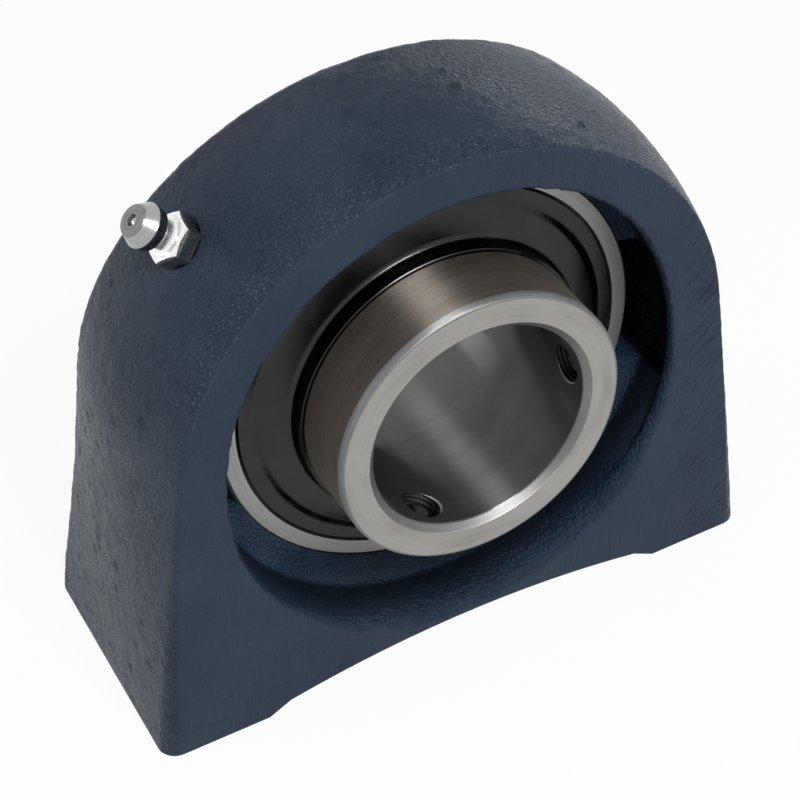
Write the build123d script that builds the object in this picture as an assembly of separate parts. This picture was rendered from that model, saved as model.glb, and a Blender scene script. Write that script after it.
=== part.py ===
from build123d import *
import os
from math import acos, asin, atan, cos, pi, radians, sin, sqrt

# Short-base pillow block with a 35 mm insert bearing and two grub screws.
# Millimetres. Origin: the centre of the spherical seat, where the shaft axis crosses the plane
# of the balls. +Y runs along the shaft, and the long end of the inner ring faces -Y, the front.
# +X is to the right seen from the front, +Z is up. A turned part is drawn as (radius, y) points.

# ---- Insert bearing ----
BORE_D = 35.0            # shaft seat
OUTER_D = 72.0           # spherical outside of the outer ring
OUTER_WIDTH = 19.0
FRONT_REACH = 25.4       # plane of the balls to the front face of the inner ring
BACK_REACH = 17.5        # plane of the balls to the back face of the inner ring
INNER_SHARE = 0.3        # wall of the inner ring, as a share of the section from bore to sphere
OUTER_SHARE = 0.3027     # wall of the outer ring beside its raceway, likewise
BALL_D = 11.112
BALL_COUNT = 9
GROOVE_RATIO = 0.52      # raceway groove radius over ball diameter
BALL_PLAY = 0.01         # radial gap between a ball and each raceway
OUTER_EDGE = 0.3         # chamfer where a face of the outer ring meets its sphere
BORE_EDGE = 1.1          # chamfer at both ends of the bore
NOSE_EDGE_R = 0.45       # rounding of the front outside corner, measured along the radius
NOSE_EDGE_Y = 1.3        # the same rounding, measured along the axis
BACK_EDGE = 0.6
RING_HOLE_D = 2.2        # grease holes through the outer ring
RING_HOLE_WALL = 0.35    # such a hole to the step that carries a seal
RING_HOLE_SPREAD = 120.0

# ---- Grub screws ----
SCREW_D = 6.0
SCREW_LENGTH = 5.0
SCREW_PITCH = 0.75
SCREW_SETBACK = 5.6      # front face of the inner ring to the screws' axes
SCREW_ANGLES = (4.0, -116.0)
SCREW_BACKED_OFF = 1.1   # cup rim to the shaft seat
SCREW_PLAY = 0.05
SOCKET_AF = 3.0
SOCKET_DEPTH = 2.6
CUP_D = 3.0
CUP_DEPTH = 0.8
CUP_RIM = 0.4
SCREW_EDGE = 0.35
THREAD_RATIO = 0.53      # depth of a thread's groove over its pitch
FLANK_RATIO = 0.42       # half the width of that groove at the hole's wall over the pitch

# ---- Cage ----
CAGE_INNER_SHARE = 0.2245  # cage to the inner ring, as a share of the space between the rings
CAGE_OUTER_SHARE = 0.2177  # cage to the outer ring, likewise
POCKET_PLAY = 0.15
CAGE_LIP = 2.4           # how far the cage reaches past the ball centres, towards the front
CAGE_BACK = 1.0          # wall behind a pocket
CAGE_PRONG = 0.8         # wall between a pocket and the relief beside it
NOTCH_DEPTH = 5.6

# ---- Seals and flingers ----
SEAL_GAP = 0.25          # cage to the seal lips
SEAL_STEP_HEIGHT = 1.7   # step in the outer ring that carries a seal
WASHER_T = 0.6
LIP_PLAY = 0.06          # seal lip to the inner ring
LIP_HEIGHT = 2.0
LIP_WIDTH = 1.1
LIP_BEVEL = 0.5
LIP_EDGE = 0.3
FIT_GAP = 0.01           # parts pressed together
FLINGER_T = 0.6
FLINGER_RIM_GAP = 0.55   # rim of a flinger to the outer ring
FLINGER_INSET = 0.05     # rim of a flinger below the face of the outer ring
FLINGER_RIM = 1.9        # flat band at its rim
FLINGER_STEP = 0.5       # step up from that band
FLINGER_STEP_WIDTH = 1.4
FLINGER_DISH = 0.75      # how much farther it rises from the step to the bend
FLINGER_BEND = 0.9       # front radius of the bend into the collar
FLINGER_COLLAR = 2.1     # straight length of the collar round the inner ring
FLINGER_EDGE = 0.12

# ---- Housing ----
CENTRE_HEIGHT = 47.6     # shaft axis above the base
BOLT_SPACING = 82.6
BOLT_TO_END = 11.3
BASE_DEPTH = 44.3        # front to back
OPENING_DEPTH = 9.9      # machined front face to the floor of the front opening
CAST_DROP = 1.8          # centre of the arch and of the cast openings, below the shaft axis
OPENING_PLAY = 0.8       # bearing to the wall of an opening, at its top
OPENING_DRAFT = 0.6      # how much smaller the front opening's radius is at its floor
OPENING_FLARE = 0.5      # how much larger the back opening's radius is behind the base
OPENING_FLOOR_R = 2.0
OPENING_EDGE = 0.8
FRONT_RIM = 6.8          # opening to the arch, at the front face
ARCH_GROWTH = 3.3        # how much larger the arch's radius is above the balls than at the face
BASE_STRAIGHT = 5.6      # height of the upright part of the back
BACK_LIP = 0.4           # back face beyond the seat, above the bearing
FRONT_LEAN = 2.0         # how much more is machined off the front at the top than at the base
FRONT_EDGE_R = 3.0
BACK_EDGE_R = 2.6
CASTING_SPARE = 4.0      # rough casting beyond the faces that are cut from it
SEAT_PLAY = 0.03
SEAT_FRONT_EXTRA = 0.5   # front end of the seat beyond the outer ring
SEAT_EDGE = 0.4
SLOT_PLAY = 2.5          # loading slots, each side of the outer ring's width
SLOT_EXTRA_R = 1.2       # loading slots, beyond the wall of the front opening
SLOT_LIP = 2.4           # front face to the loading slots
RELIEF_FOOT = 17.4       # length of each foot
RELIEF_STEP = 1.9        # height of the step beside a foot
RELIEF_RISE = 4.9        # height of the arch under the shaft
RELIEF_RAMP = 3.7        # length of the slope up that step
BOLT_D = 10.0
BOLT_DEPTH = 18.0
BOLT_PITCH = 1.5
BOLT_EDGE = 0.8
DRILL_POINT = 0.6        # depth of a drilled hole's cone over its radius
DRILLING_D = 3.0         # grease nipple to the seat
GROOVE_MARGIN = 0.85     # grease groove beyond the holes in the outer ring
GREASE_GROOVE_DEPTH = 1.0

# ---- Grease nipple ----
NIPPLE_ANGLE = 135.3
NIPPLE_Y = -3.1
NIPPLE_SINK = 0.25       # spot face below the arch
SPOT_EXTRA = 0.35        # spot face beyond the corners of the hexagon
NIPPLE_THREAD_D = 6.0
NIPPLE_THREAD_LENGTH = 5.5
NIPPLE_PITCH = 1.0
NIPPLE_END_EDGE = 0.5
NIPPLE_HOLE_EXTRA = 1.2  # tapped hole beyond the nipple's end
NIPPLE_PLAY = 0.03
HEX_AF = 6.8
HEX_HEIGHT = 3.0
HEX_TURN = -10.0         # where the hexagon stopped when it was tightened
HEX_CROWN = 0.5          # height of the chamfer on the corners of the hexagon
HEX_LAND = 0.55          # flat band between that chamfer and the curve of the neck
NECK_CURVE = 1.1         # height of that curve
NECK_D = 4.6
NECK_LENGTH = 0.5
COLLAR_RISE = 0.9        # height of the cone under the head
COLLAR_D = 6.3
COLLAR_LENGTH = 1.6      # from that cone to the widest place of the head
HEAD_D = 6.7
HEAD_LENGTH = 2.0
TIP_D = 4.7
TIP_EDGE = 0.15
NIPPLE_BORE_D = 2.4
CHECK_BALL_GAP = 0.15    # check ball to the bore
MOUTH_LEDGE = 0.2        # how far the ball reaches under the edge of the mouth
MOUTH_DEPTH = 0.6
CHECK_PLAY = 0.02        # check ball to the edge of the mouth
SPRING_WIRE = 0.3
SPRING_GAP = 0.25        # spring to the bore
SPRING_TURNS = 10.0
SPRING_PLAY = 0.01
STAKE_LEDGE = 0.3        # staked end under the spring
STAKE_LENGTH = 0.8

# ---- Worked out from the sizes above ----
BORE_R = BORE_D / 2
OUTER_R = OUTER_D / 2
HALF_WIDTH = OUTER_WIDTH / 2
SECTION = OUTER_R - BORE_R
INNER_R = BORE_R + INNER_SHARE * SECTION
LAND_R = OUTER_R - OUTER_SHARE * SECTION
PITCH_R = (INNER_R + LAND_R) / 2
GROOVE_R = GROOVE_RATIO * BALL_D
POCKET_R = BALL_D / 2 + POCKET_PLAY
CAGE_END = POCKET_R + CAGE_BACK
SEAL_Y = CAGE_END + SEAL_GAP + LIP_WIDTH / 2
STEP_Y = SEAL_Y - WASHER_T / 2
STEP_R = LAND_R + SEAL_STEP_HEIGHT
RING_HOLE_Y = STEP_Y - RING_HOLE_WALL - RING_HOLE_D / 2
SCREW_Y = -FRONT_REACH + SCREW_SETBACK
SEAT_R = OUTER_R + SEAT_PLAY
SEAT_FRONT = HALF_WIDTH + SEAT_FRONT_EXTRA
SEAT_BACK = HALF_WIDTH
FRONT_Y = SEAT_FRONT + OPENING_DEPTH
BACK_Y = BASE_DEPTH - FRONT_Y
HALF_BASE = BOLT_SPACING / 2 + BOLT_TO_END
OPENING_R = OUTER_R + OPENING_PLAY + CAST_DROP
FACE_R = OPENING_R + FRONT_RIM
CREST_R = FACE_R + ARCH_GROWTH
CREST_Z = CREST_R - CAST_DROP
NIPPLE_SEAT_R = CREST_R - NIPPLE_SINK
NECK_BOTTOM = HEX_HEIGHT + NECK_CURVE
NECK_TOP = NECK_BOTTOM + NECK_LENGTH
COLLAR_BOTTOM = NECK_TOP + COLLAR_RISE
COLLAR_TOP = COLLAR_BOTTOM + COLLAR_LENGTH
NIPPLE_HEIGHT = COLLAR_TOP + HEAD_LENGTH
CHECK_R = NIPPLE_BORE_D / 2 - CHECK_BALL_GAP
MOUTH_R = CHECK_R - MOUTH_LEDGE
MOUTH_FLOOR = NIPPLE_HEIGHT - MOUTH_DEPTH
CHECK_HEIGHT = MOUTH_FLOOR - sqrt((CHECK_R + CHECK_PLAY) ** 2 - MOUTH_R ** 2)
COIL_R = NIPPLE_BORE_D / 2 - SPRING_GAP - SPRING_WIRE / 2
STAKE_R = COIL_R + SPRING_WIRE / 2 - STAKE_LEDGE
STAKE_TOP = STAKE_LENGTH - NIPPLE_THREAD_LENGTH


def turned(points):
    """A solid of revolution about the shaft axis, from (radius, y) corner points."""
    return revolve(make_face(Polyline(*points, close=True)), Axis.Y)


def turned_upright(points):
    """A solid of revolution about the vertical axis, from (radius, z) corner points."""
    return revolve(make_face(Plane.XZ * Polyline(*points, close=True)), Axis.Z)


def torus(ring_r, tube_r):
    """A torus about the shaft axis, in the plane of the balls."""
    return revolve(Pos(ring_r, 0) * Circle(tube_r), Axis.Y)


def radial(angle, y=0.0):
    """A location on the shaft axis at y, whose own +Z points outward at an angle from +X."""
    out = Vector(cos(radians(angle)), 0, sin(radians(angle)))
    return Location(Plane(origin=(0, y, 0), x_dir=(0, 1, 0), z_dir=out))


def on_arch(angle, y):
    """The same, but from the centre line of the housing's arch."""
    return Pos(0, 0, -CAST_DROP) * radial(angle, y)


def rod(diameter, start, end):
    """A cylinder along +Z between two heights."""
    return Pos(0, 0, (start + end) / 2) * Cylinder(diameter / 2, end - start)


# ---------------------------------------------------------------- insert bearing

def inner_ring():
    """The wide inner ring, with its raceway and the two threaded holes."""
    face = (INNER_R - NOSE_EDGE_R, -FRONT_REACH)
    side = (INNER_R, -FRONT_REACH + NOSE_EDGE_Y)
    outline = [
        Spline(face, side, tangents=[(1, 0), (0, 1)]),
        Polyline(side, (INNER_R, BACK_REACH - BACK_EDGE), (INNER_R - BACK_EDGE, BACK_REACH),
                 (BORE_R + BORE_EDGE, BACK_REACH), (BORE_R, BACK_REACH - BORE_EDGE),
                 (BORE_R, -FRONT_REACH + BORE_EDGE), (BORE_R + BORE_EDGE, -FRONT_REACH), face),
    ]
    body = revolve(make_face(outline), Axis.Y)
    groove_bottom = PITCH_R - BALL_D / 2 - BALL_PLAY
    body -= torus(groove_bottom + GROOVE_R, GROOVE_R)
    for angle in SCREW_ANGLES:
        hole_d = SCREW_D + 2 * SCREW_PLAY
        hole = threaded_hole(hole_d, SCREW_PITCH, BORE_R - SCREW_PITCH, INNER_R + SCREW_PITCH)
        body -= radial(angle, SCREW_Y) * hole
    return body


def threaded_hole(diameter, pitch, start, end):
    """A hole along +Z whose wall carries a ring of thread at each pitch."""
    hole = rod(diameter, start, end)
    minor_r = diameter / 2
    root_r = minor_r + THREAD_RATIO * pitch
    half = FLANK_RATIO * pitch
    for turn in range(int((end - start) / pitch)):
        z = start + (turn + 0.5) * pitch
        hole += turned_upright([(0, z - half), (minor_r, z - half), (root_r, z), (minor_r, z + half),
                                (0, z + half)])
    return hole


def grub_screw(angle):
    """A socket set screw with a cup point, backed off from the shaft seat."""
    tip = BORE_R + SCREW_BACKED_OFF
    top = tip + SCREW_LENGTH
    r, cup_r = SCREW_D / 2, CUP_D / 2
    rim_r = cup_r + CUP_RIM
    body = turned_upright([(0, tip + CUP_DEPTH), (cup_r, tip), (rim_r, tip), (r, tip + r - rim_r),
                           (r, top - SCREW_EDGE), (r - SCREW_EDGE, top), (0, top)])
    socket = extrude(RegularPolygon(SOCKET_AF / 2, 6, major_radius=False), SOCKET_DEPTH)
    body -= Pos(0, 0, top - SOCKET_DEPTH) * socket
    return radial(angle, SCREW_Y) * body


def outer_ring():
    """The outer ring: spherical outside, raceway, seal steps and two grease holes."""
    face_r = sqrt(OUTER_R ** 2 - HALF_WIDTH ** 2) - OUTER_EDGE
    edge_y = HALF_WIDTH - OUTER_EDGE
    edge_r = sqrt(OUTER_R ** 2 - edge_y ** 2)
    outline = [
        Line((face_r, -HALF_WIDTH), (edge_r, -edge_y)),
        ThreePointArc((edge_r, -edge_y), (OUTER_R, 0), (edge_r, edge_y)),
        Polyline((edge_r, edge_y), (face_r, HALF_WIDTH), (STEP_R, HALF_WIDTH), (STEP_R, STEP_Y),
                 (LAND_R, STEP_Y), (LAND_R, -STEP_Y), (STEP_R, -STEP_Y), (STEP_R, -HALF_WIDTH),
                 (face_r, -HALF_WIDTH)),
    ]
    body = revolve(make_face(outline), Axis.Y)
    groove_bottom = PITCH_R + BALL_D / 2 + BALL_PLAY
    body -= torus(groove_bottom - GROOVE_R, GROOVE_R)
    for angle in (NIPPLE_ANGLE, NIPPLE_ANGLE - RING_HOLE_SPREAD):
        body -= radial(angle, -RING_HOLE_Y) * rod(RING_HOLE_D, PITCH_R, OUTER_R + RING_HOLE_D)
    return body


def ball(index):
    """One ball, at its place on the pitch circle."""
    angle = radians(90.0 + index * 360.0 / BALL_COUNT)
    return Pos(PITCH_R * cos(angle), 0, PITCH_R * sin(angle)) * Sphere(BALL_D / 2)


def cage():
    """A one-piece snap cage, open towards the front."""
    space = LAND_R - INNER_R
    inner, outer = INNER_R + CAGE_INNER_SHARE * space, LAND_R - CAGE_OUTER_SHARE * space
    pocket_width = 2 * sqrt(POCKET_R ** 2 - (PITCH_R - inner) ** 2)
    notch_d = 2 * inner * sin(pi / BALL_COUNT) - pocket_width - 2 * CAGE_PRONG
    notch = extrude(SlotOverall(2 * NOTCH_DEPTH, notch_d), outer + notch_d)
    body = turned([(inner, -CAGE_LIP), (outer, -CAGE_LIP), (outer, CAGE_END), (inner, CAGE_END)])
    for index in range(BALL_COUNT):
        angle = 90.0 + index * 360.0 / BALL_COUNT
        body -= radial(angle) * Pos(0, 0, PITCH_R) * Sphere(POCKET_R)
        body -= radial(angle + 180.0 / BALL_COUNT, -CAGE_LIP) * notch
    return body


def seal_washer(side):
    """The steel washer of a seal, seated on the step of the outer ring. side is -1 at the front."""
    outer = STEP_R - FIT_GAP
    inner = INNER_R + LIP_PLAY + LIP_HEIGHT
    near, far = side * STEP_Y, side * (STEP_Y + WASHER_T)
    return turned([(inner, near), (outer, near), (outer, far), (inner, far)])


def seal_lip(side):
    """The rubber lip on the inner edge of a seal washer, bearing on the inner ring."""
    tip = INNER_R + LIP_PLAY
    root = tip + LIP_HEIGHT
    near, far = side * (SEAL_Y - LIP_WIDTH / 2), side * (SEAL_Y + LIP_WIDTH / 2)
    return turned([(root, near), (tip + LIP_BEVEL, near), (tip, far - side * LIP_EDGE), (tip, far),
                   (root, far)])


def flinger(side):
    """A dished steel flinger, whose collar grips the inner ring in front of a seal."""
    rim_r = STEP_R - FLINGER_RIM_GAP
    seat_r = INNER_R + FIT_GAP
    collar_r = seat_r + FLINGER_T
    bend_r = collar_r + FLINGER_BEND
    step_out = rim_r - FLINGER_RIM
    step_in = step_out - FLINGER_STEP_WIDTH
    out_y = HALF_WIDTH - FLINGER_INSET
    step_y = out_y + FLINGER_STEP
    top_y = step_y + FLINGER_DISH
    bend_y = top_y + FLINGER_BEND
    end_y = bend_y + FLINGER_COLLAR
    slope = FLINGER_DISH / (step_in - bend_r)
    low_y, mid_y, under_y = out_y - FLINGER_T, step_y - FLINGER_T, top_y - FLINGER_T
    outline = [
        Polyline((seat_r, bend_y), (seat_r, end_y), (collar_r - FLINGER_EDGE, end_y),
                 (collar_r, end_y - FLINGER_EDGE), (collar_r, bend_y)),
        Spline((collar_r, bend_y), (bend_r, top_y), tangents=[(0, -1), (1, -slope)]),
        Line((bend_r, top_y), (step_in, step_y)),
        Spline((step_in, step_y), (step_out, out_y), tangents=[(1, -slope), (1, 0)]),
        Polyline((step_out, out_y), (rim_r, out_y), (rim_r, low_y), (step_out, low_y)),
        Spline((step_out, low_y), (step_in, mid_y), tangents=[(-1, 0), (-1, slope)]),
        Line((step_in, mid_y), (bend_r, under_y)),
        Spline((bend_r, under_y), (seat_r, bend_y), tangents=[(-1, slope), (0, 1)]),
    ]
    body = revolve(make_face(outline), Axis.Y)
    return body if side > 0 else mirror(body, Plane.XZ)


# ---------------------------------------------------------------- housing

def casting_section(y, crown_r):
    """The D outline of the casting at one depth: base, two leaning flanks and a round top."""
    rise = CENTRE_HEIGHT - CAST_DROP
    reach = sqrt(HALF_BASE ** 2 + rise ** 2)
    touch = acos(crown_r / reach) - asin(rise / reach)
    tx, tz = crown_r * cos(touch), crown_r * sin(touch) - CAST_DROP
    slope = (HALF_BASE - tx) / (CENTRE_HEIGHT + tz)
    foot_x, foot_z = HALF_BASE + slope * CASTING_SPARE, -CENTRE_HEIGHT - CASTING_SPARE
    outline = [
        Line((-foot_x, foot_z), (foot_x, foot_z)),
        Line((foot_x, foot_z), (tx, tz)),
        ThreePointArc((tx, tz), (0, crown_r - CAST_DROP), (-tx, tz)),
        Line((-tx, tz), (-foot_x, foot_z)),
    ]
    return Plane(origin=(0, y, 0), x_dir=(1, 0, 0), z_dir=(0, -1, 0)) * make_face(outline)


def rim_edges(body, side):
    """The edges that run round one side of the casting from foot to foot. side is -1 at the front."""
    chosen = []
    for edge in body.edges():
        middle = edge.position_at(0.5)
        over_base = middle.Z > -CENTRE_HEIGHT - CASTING_SPARE / 2
        along_crest = middle.Z > CREST_Z - 2 * CASTING_SPARE
        if side * middle.Y > 0 and over_base and (along_crest or abs(middle.X) > BALL_PLAY):
            chosen.append(edge)
    return chosen


def casting():
    """The outside of the casting, with its machined front, leaning back and flat base."""
    sections = []
    for y in (-FRONT_Y - CASTING_SPARE, 0, BACK_Y + CASTING_SPARE):
        sections.append(casting_section(y, CREST_R - ARCH_GROWTH * (y / FRONT_Y) ** 2))
    body = loft(sections)

    height = CENTRE_HEIGHT + CREST_Z
    lean = atan(FRONT_LEAN / height)
    front_foot, outward = (0, -FRONT_Y, -CENTRE_HEIGHT), (0, -cos(lean), -sin(lean))
    raw_front = Plane(origin=front_foot, x_dir=(1, 0, 0), z_dir=outward)
    body -= raw_front * Pos(0, 0, BASE_DEPTH / 2) * Box(4 * HALF_BASE, 4 * height, BASE_DEPTH)
    body = fillet(rim_edges(body, -1), FRONT_EDGE_R)

    lean_z, behind_y = BASE_STRAIGHT - CENTRE_HEIGHT, BACK_Y + 2 * CASTING_SPARE
    seat_y = SEAT_BACK + BACK_LIP
    slope = (BACK_Y - seat_y) / (OUTER_R - lean_z)
    over = CREST_Z + CASTING_SPARE
    under = -CENTRE_HEIGHT - 2 * CASTING_SPARE
    behind = Polyline((BACK_Y, under), (BACK_Y, lean_z), (seat_y - slope * (over - OUTER_R), over),
                      (behind_y, over), (behind_y, under), close=True)
    side_view = Plane(origin=(0, 0, 0), x_dir=(0, 1, 0), z_dir=(1, 0, 0))
    body -= extrude(side_view * make_face(behind), 2 * HALF_BASE, both=True)
    body = fillet(rim_edges(body, 1), BACK_EDGE_R)

    body -= Pos(0, -FRONT_Y - BASE_DEPTH / 2, 0) * Box(4 * HALF_BASE, BASE_DEPTH, 4 * height)
    body -= Pos(0, 0, -CENTRE_HEIGHT - height / 2) * Box(4 * HALF_BASE, 4 * BASE_DEPTH, height)
    return body


def front_opening():
    """The cast opening in front of the seat, with a rounded mouth and floor."""
    floor_r = OPENING_R - OPENING_DRAFT
    outside = -FRONT_Y - CASTING_SPARE
    mouth = (OPENING_R + OPENING_EDGE, -FRONT_Y)
    wall_start = (OPENING_R, -FRONT_Y + OPENING_EDGE)
    wall_end = (floor_r, -SEAT_FRONT - OPENING_FLOOR_R)
    floor_start = (floor_r - OPENING_FLOOR_R, -SEAT_FRONT)
    outline = [
        Line((mouth[0], outside), mouth),
        Spline(mouth, wall_start, tangents=[(-1, 0), (0, 1)]),
        Line(wall_start, wall_end),
        Spline(wall_end, floor_start, tangents=[(0, 1), (-1, 0)]),
        Polyline(floor_start, (0, -SEAT_FRONT), (0, outside), (mouth[0], outside)),
    ]
    return Pos(0, 0, -CAST_DROP) * revolve(make_face(outline), Axis.Y)


def back_opening():
    """The cast opening behind the seat."""
    far = BACK_Y + CASTING_SPARE
    return Pos(0, 0, -CAST_DROP) * turned([(0, SEAT_BACK), (OPENING_R, SEAT_BACK),
                                           (OPENING_R + OPENING_FLARE, far), (0, far)])


def seat():
    """The spherical seat, with its edges broken, its grease groove and room for the bearing to tilt."""
    def on_sphere(y):
        return (sqrt(SEAT_R ** 2 - y ** 2), y)

    toe = on_sphere(-SEAT_FRONT - OPENING_FLOOR_R)
    front, back = on_sphere(SEAT_EDGE - SEAT_FRONT), on_sphere(SEAT_BACK - SEAT_EDGE)
    front_r, back_r = on_sphere(SEAT_FRONT)[0] + SEAT_EDGE, on_sphere(SEAT_BACK)[0] + SEAT_EDGE
    outline = [
        ThreePointArc(toe, (SEAT_R, 0), back),
        Polyline(back, (back_r, SEAT_BACK), (0, SEAT_BACK), (0, toe[1]), toe),
    ]
    front_edge = turned([(0, -SEAT_FRONT), (front_r, -SEAT_FRONT), front, (0, front[1])])
    groove_r = SEAT_R + GREASE_GROOVE_DEPTH
    groove_end = -RING_HOLE_Y - RING_HOLE_D / 2 - GROOVE_MARGIN
    groove = turned([(0, groove_end), (groove_r, groove_end), (groove_r, NIPPLE_Y), (0, NIPPLE_Y)])
    return revolve(make_face(outline), Axis.Y) + front_edge + groove


def loading_slots():
    """The pockets at either side through which the bearing is put in, before it is swung upright."""
    reach = OPENING_R + SLOT_EXTRA_R
    start = SLOT_LIP - FRONT_Y
    disc = Pos(0, 0, -CAST_DROP) * turned([(0, start), (reach, start), (reach, 0), (0, 0)])
    return disc & Box(4 * reach, 4 * reach, OUTER_WIDTH + 2 * SLOT_PLAY)


def foot_relief():
    """The space under the casting between its two feet."""
    foot_x = HALF_BASE - RELIEF_FOOT
    ramp_x = foot_x - RELIEF_RAMP
    step_z, below = -CENTRE_HEIGHT + RELIEF_STEP, -CENTRE_HEIGHT - CASTING_SPARE
    outline = [
        Polyline((-ramp_x, step_z), (-foot_x, -CENTRE_HEIGHT), (-foot_x, below), (foot_x, below),
                 (foot_x, -CENTRE_HEIGHT), (ramp_x, step_z)),
        ThreePointArc((ramp_x, step_z), (0, -CENTRE_HEIGHT + RELIEF_RISE), (-ramp_x, step_z)),
    ]
    return extrude(Plane.XZ * make_face(outline), BASE_DEPTH, both=True)


def bolt_hole():
    """A blind tapped hole for a holding-down bolt, with a drilled end and a chamfered mouth."""
    r, floor, top = BOLT_D / 2, -CENTRE_HEIGHT, BOLT_DEPTH - CENTRE_HEIGHT
    hole = threaded_hole(BOLT_D, BOLT_PITCH, floor - BOLT_PITCH, top)
    start, point = top - BOLT_PITCH, top + r * DRILL_POINT
    hole += turned_upright([(0, start), (r, start), (r, top), (0, point)])
    outside, inside = floor - BOLT_EDGE, floor + BOLT_EDGE
    hole += turned_upright([(0, outside), (r + 2 * BOLT_EDGE, outside), (r, inside), (0, inside)])
    return hole


def nipple_hole():
    """The spot face, tapped hole and drilling that lead from the grease nipple to the groove."""
    bottom = NIPPLE_SEAT_R - NIPPLE_THREAD_LENGTH - NIPPLE_HOLE_EXTRA
    spot_d = 2 * (HEX_AF / sqrt(3) + SPOT_EXTRA)
    hole_d = NIPPLE_THREAD_D + 2 * NIPPLE_PLAY
    hole = threaded_hole(hole_d, NIPPLE_PITCH, bottom, NIPPLE_SEAT_R + NIPPLE_PITCH)
    hole += rod(spot_d, NIPPLE_SEAT_R, NIPPLE_SEAT_R + spot_d)
    return hole + rod(DRILLING_D, OUTER_R - DRILLING_D, bottom + NIPPLE_PITCH)


def housing():
    """The cast housing, machined for its bearing, bolts and grease nipple."""
    body = casting()
    body -= front_opening()
    body -= back_opening()
    body -= loading_slots()
    body -= seat()
    body -= foot_relief()
    for side in (-1, 1):
        body -= Pos(side * BOLT_SPACING / 2, 0, 0) * bolt_hole()
    body -= on_arch(NIPPLE_ANGLE, NIPPLE_Y) * nipple_hole()
    return body


# ---------------------------------------------------------------- grease nipple

def nipple_body():
    """The hexagonal body of the grease nipple, its head and its staked lower end."""
    thread_r, neck_r, collar_r = NIPPLE_THREAD_D / 2, NECK_D / 2, COLLAR_D / 2
    head_r, tip_r, bore_r = HEAD_D / 2, TIP_D / 2, NIPPLE_BORE_D / 2
    shoulder_r, end = HEX_AF / 2 - HEX_LAND, -NIPPLE_THREAD_LENGTH
    outline = [
        Polyline((STAKE_R, end), (thread_r - NIPPLE_END_EDGE, end), (thread_r, end + NIPPLE_END_EDGE),
                 (thread_r, HEX_HEIGHT / 2), (shoulder_r, HEX_HEIGHT / 2), (shoulder_r, HEX_HEIGHT)),
        Spline((shoulder_r, HEX_HEIGHT), (neck_r, NECK_BOTTOM), tangents=[(-1, 0), (0, 1)]),
        Polyline((neck_r, NECK_BOTTOM), (neck_r, NECK_TOP), (collar_r, COLLAR_BOTTOM),
                 (head_r, COLLAR_TOP), (tip_r, NIPPLE_HEIGHT - TIP_EDGE), (tip_r - TIP_EDGE, NIPPLE_HEIGHT),
                 (MOUTH_R, NIPPLE_HEIGHT), (MOUTH_R, MOUTH_FLOOR), (bore_r, MOUTH_FLOOR),
                 (bore_r, STAKE_TOP), (STAKE_R, STAKE_TOP), (STAKE_R, end)),
    ]
    shank = revolve(make_face([Plane.XZ * line for line in outline]), Axis.Z)
    hexagon = extrude(RegularPolygon(HEX_AF / 2, 6, major_radius=False, rotation=HEX_TURN), HEX_HEIGHT)
    corner_r = HEX_AF / sqrt(3)
    hexagon &= turned_upright([(0, 0), (corner_r, 0), (corner_r, HEX_HEIGHT - HEX_CROWN),
                               ((HEX_AF - HEX_CROWN) / 2, HEX_HEIGHT), (0, HEX_HEIGHT)])
    hexagon -= rod(2 * shoulder_r, -HEX_HEIGHT, 2 * HEX_HEIGHT)
    return hexagon + shank


def check_ball():
    """The ball that closes the mouth of the nipple."""
    return Pos(0, 0, CHECK_HEIGHT) * Sphere(CHECK_R)


def nipple_spring():
    """The coil spring between the staked end and the check ball."""
    clear = SPRING_WIRE / 2 + SPRING_PLAY
    bottom = STAKE_TOP + clear
    top = CHECK_HEIGHT - sqrt((CHECK_R + clear) ** 2 - COIL_R ** 2)
    path = Helix((top - bottom) / SPRING_TURNS, top - bottom, COIL_R)
    wire = Plane(origin=path @ 0, z_dir=path % 0) * Circle(SPRING_WIRE / 2)
    return Pos(0, 0, bottom) * sweep(wire, path=path, is_frenet=True)


nipple_place = on_arch(NIPPLE_ANGLE, NIPPLE_Y) * Pos(0, 0, NIPPLE_SEAT_R)
parts = {
    "housing": housing(),
    "grease_nipple_body": nipple_place * nipple_body(),
    "nipple_check_ball": nipple_place * check_ball(),
    "nipple_spring": nipple_place * nipple_spring(),
    "outer_ring": outer_ring(),
    "front_seal_washer": seal_washer(-1),
    "front_seal_lip": seal_lip(-1),
    "back_seal_washer": seal_washer(1),
    "back_seal_lip": seal_lip(1),
    "inner_ring": inner_ring(),
    "front_flinger": flinger(-1),
    "back_flinger": flinger(1),
    "cage": cage(),
}
for number, angle in enumerate(SCREW_ANGLES, 1):
    parts[f"grub_screw_{number}"] = grub_screw(angle)
for index in range(BALL_COUNT):
    parts[f"ball_{index + 1}"] = ball(index)

os.makedirs("parts", exist_ok=True)
for name, shape in parts.items():
    shape.label = name
    export_step(shape, f"parts/{name}.step")
    print(name, len(shape.solids()), round(shape.volume, 2), shape.is_valid)
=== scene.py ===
"""The looks of a short-base pillow block with a 35 mm insert bearing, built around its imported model.

Row frame, in metres: the origin is the centre of the spherical seat, +Y runs along the shaft and the front
of the housing faces -Y, +Z is up. Sizes in the classes below are millimetres and degrees.
"""

import logging
import math
from dataclasses import dataclass
from enum import Enum

import bpy
import numpy as np
from mathutils import Matrix, Vector

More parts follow.
